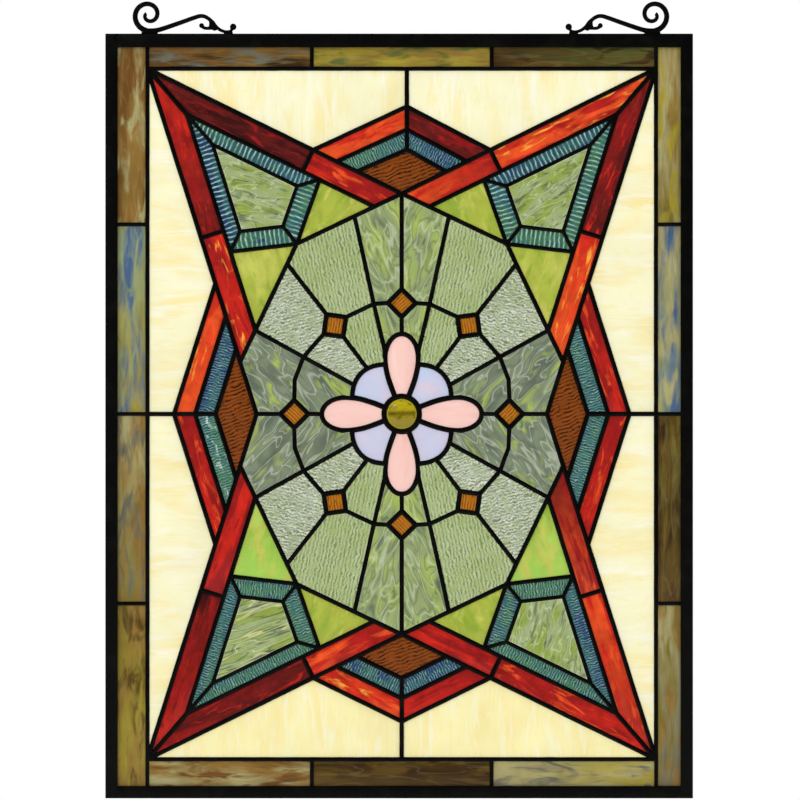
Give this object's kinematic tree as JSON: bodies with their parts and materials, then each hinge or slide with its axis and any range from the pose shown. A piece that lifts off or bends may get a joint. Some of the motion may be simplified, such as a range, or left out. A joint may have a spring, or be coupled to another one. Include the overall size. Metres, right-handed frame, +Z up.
{
  "type": "hanging stained glass window panel",
  "caption": "Upright rectangular panel of coloured glass held by soldered lead lines in a black metal frame, with scroll hangers on the top rail for chain or hooks.",
  "frame": {"origin": "middle of the top rail's upper face, between the two hangers", "axes": "+X to the right seen from the front, +Z up, and -Y out of the front of the panel"},
  "size_m": [0.4572, 0.0105, 0.6206],
  "materials": {
    "frame_metal": "black patina, satin",
    "hanger_metal": "black paint on a rough casting, satin",
    "solder": "black patina on solder, satin",
    "border_glass": "brown and olive streaky opalescent glass",
    "cream_glass": "cream opalescent glass with faint ripples",
    "red_glass": "streaky red glass",
    "teal_glass": "blue-green glass with fine ribs across",
    "amber_glass": "dark amber rippled glass",
    "clear_glass": "colourless rippled glass",
    "green_glass": "yellow-green wispy glass",
    "pink_glass": "pale pink opalescent glass",
    "lavender_glass": "lavender and pale blue opalescent glass",
    "jewel_glass": "amber-yellow pressed glass, glossy"
  },
  "bodies": {
    "root": {"amber_diamond_bottom": "amber_glass", "amber_diamond_left": "amber_glass", "amber_diamond_right": "amber_glass", "amber_diamond_top": "amber_glass", "blue_chevron_bottom": "teal_glass", "blue_chevron_left": "teal_glass", "blue_chevron_right": "teal_glass", "blue_chevron_top": "teal_glass", "border_glass_bottom": "border_glass", "border_glass_left": "border_glass", "border_glass_right": "border_glass", "border_glass_top": "border_glass", "clear_kite_lower_left": "clear_glass", "clear_kite_lower_right": "clear_glass", "clear_kite_upper_left": "clear_glass", "clear_kite_upper_right": "clear_glass", "cream_glass_bottom": "cream_glass", "cream_glass_left": "cream_glass", "cream_glass_right": "cream_glass", "cream_glass_top": "cream_glass", "frame_bottom_rail": "frame_metal", "frame_left_stile": "frame_metal", "frame_right_stile": "frame_metal", "frame_top_rail": "frame_metal", "green_triangle_high_lower_left": "green_glass", "green_triangle_high_lower_right": "green_glass", "green_triangle_high_upper_left": "green_glass", "green_triangle_high_upper_right": "green_glass", "green_triangle_low_lower_left": "green_glass", "green_triangle_low_lower_right": "green_glass", "green_triangle_low_upper_left": "green_glass", "green_triangle_low_upper_right": "green_glass", "hanger_left": "hanger_metal", "hanger_right": "hanger_metal", "jewel": "jewel_glass", "kite_strips_lower_left": "teal_glass", "kite_strips_lower_right": "teal_glass", "kite_strips_upper_left": "teal_glass", "kite_strips_upper_right": "teal_glass", "lavender_lower_left": "lavender_glass", "lavender_lower_right": "lavender_glass", "lavender_upper_left": "lavender_glass", "lavender_upper_right": "lavender_glass", "lead_web": "solder", "petal_bottom": "pink_glass", "petal_left": "pink_glass", "petal_right": "pink_glass", "petal_top": "pink_glass", "red_chevron_bottom": "red_glass", "red_chevron_left": "red_glass", "red_chevron_right": "red_glass", "red_chevron_top": "red_glass", "red_star_lower_left": "red_glass", "red_star_lower_right": "red_glass", "red_star_upper_left": "red_glass", "red_star_upper_right": "red_glass", "rosette_inner_ring": "clear_glass", "rosette_outer_ring": "clear_glass"}
  },
  "joints": []
}
